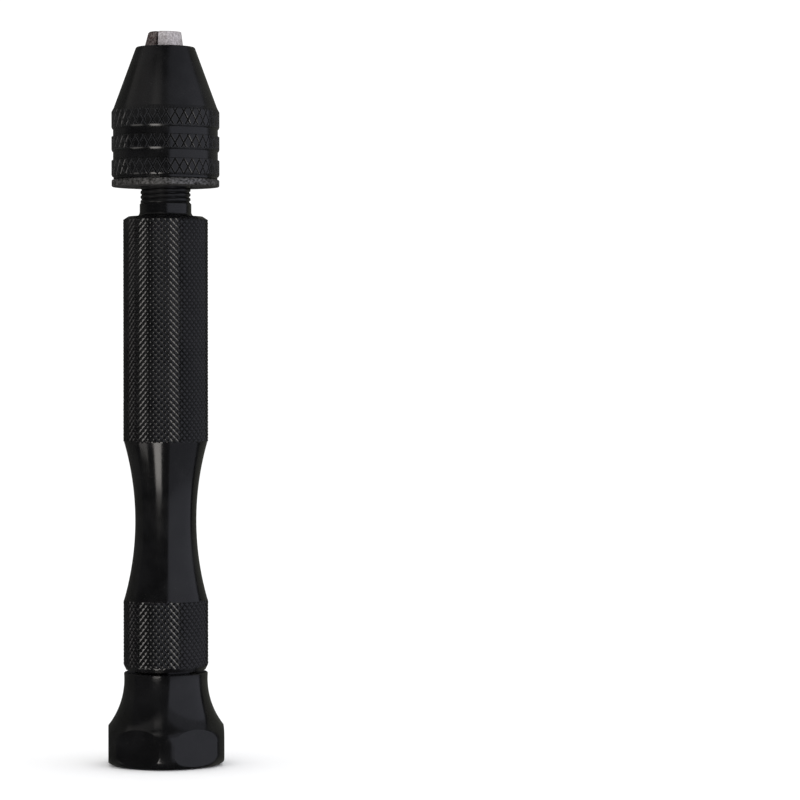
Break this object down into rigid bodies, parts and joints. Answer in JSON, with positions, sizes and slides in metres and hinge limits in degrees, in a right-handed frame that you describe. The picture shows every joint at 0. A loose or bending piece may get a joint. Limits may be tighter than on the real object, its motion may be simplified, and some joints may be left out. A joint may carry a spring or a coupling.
{
  "type": "pin vise drill",
  "caption": "Hand drill for fine bits: keyless jaw chuck screwed on a knurled, waisted handle, with a flared palm cap that swivels on a ball bearing.",
  "frame": {"origin": "centre of the palm cap's base, the face the drill stands on", "axes": "+Z along the drill's axis from the palm cap to the jaw tips; +X is the tool's right seen from the front, -Y the front"},
  "size_m": [0.019, 0.02, 0.1171],
  "materials": {
    "handle_anodised": "black anodised, turned and diamond knurled",
    "cap_anodised": "black anodised, turned smooth with milled flats",
    "plug_anodised": "black anodised",
    "sleeve_anodised": "black anodised, with knurled bands",
    "bearing_steel": "ground",
    "ball_steel": "polished",
    "cage_brass": "pressed",
    "shield_steel": "pressed, dull",
    "fastener_steel": "zinc plated",
    "chuck_body_steel": "blackened, worn to grey at the flange",
    "nut_steel": "turned, oiled",
    "jaw_steel": "ground, lightly stained"
  },
  "bodies": {
    "handle": {"handle": "handle_anodised", "bearing_inner_ring": "bearing_steel", "swivel_screw": "fastener_steel", "retaining_washer": "fastener_steel", "lock_washer": "fastener_steel"},
    "palm_cap": {"palm_cap": "cap_anodised", "cap_plug": "plug_anodised", "bearing_outer_ring": "bearing_steel", "bearing_shield_lower": "shield_steel", "bearing_shield_upper": "shield_steel"},
    "ball_set": {"bearing_balls": "ball_steel", "bearing_cage": "cage_brass"},
    "chuck_carriage": {"thrust_washer": "nut_steel"},
    "chuck_body": {"chuck_body": "chuck_body_steel"},
    "chuck_sleeve": {"chuck_sleeve": "sleeve_anodised", "nut_half_a": "nut_steel", "nut_half_b": "nut_steel"},
    "jaw_1": {"jaw_1": "jaw_steel"},
    "jaw_2": {"jaw_2": "jaw_steel"},
    "jaw_3": {"jaw_3": "jaw_steel"}
  },
  "joints": [
    {"name": "palm_cap_spin", "type": "hinge", "parent": "handle", "child": "palm_cap", "pos_m": [0, 0, 0.0072], "axis": [0, 0, 1], "continuous": true},
    {"name": "ball_set_spin", "type": "hinge", "parent": "handle", "child": "ball_set", "pos_m": [0, 0, 0.0072], "axis": [0, 0, 1], "continuous": true},
    {"name": "chuck_travel", "type": "slide", "parent": "handle", "child": "chuck_carriage", "axis": [0, 0, 1], "range_m": [-0.0026, 0.0042]},
    {"name": "chuck_screw", "type": "hinge", "parent": "chuck_carriage", "child": "chuck_body", "pos_m": [0, 0, 0.0955], "axis": [0, 0, 1], "range_deg": [-1249, 2017]},
    {"name": "sleeve_turn", "type": "hinge", "parent": "chuck_body", "child": "chuck_sleeve", "pos_m": [0, 0, 0.1], "axis": [0, 0, 1], "range_deg": [-316, 2001]},
    {"name": "jaw_1_slide", "type": "slide", "parent": "chuck_body", "child": "jaw_1", "axis": [0.1451, -0.2143, -0.9659], "range_m": [-0.0007, 0.00444]},
    {"name": "jaw_2_slide", "type": "slide", "parent": "chuck_body", "child": "jaw_2", "axis": [0.1131, 0.2328, -0.9659], "range_m": [-0.00071, 0.00446]},
    {"name": "jaw_3_slide", "type": "slide", "parent": "chuck_body", "child": "jaw_3", "axis": [-0.2582, -0.0185, -0.9659], "range_m": [-0.00071, 0.00446]}
  ],
  "couplings": [
    {"joint": "ball_set_spin", "follows": "palm_cap_spin", "ratio": 0.6203},
    {"joint": "chuck_screw", "follows": "chuck_travel", "rad_per_m": 8377.6},
    {"joint": "sleeve_turn", "follows": "jaw_1_slide", "rad_per_m": 7854},
    {"joint": "jaw_2_slide", "follows": "jaw_1_slide", "ratio": 1},
    {"joint": "jaw_3_slide", "follows": "jaw_1_slide", "ratio": 1}
  ]
}
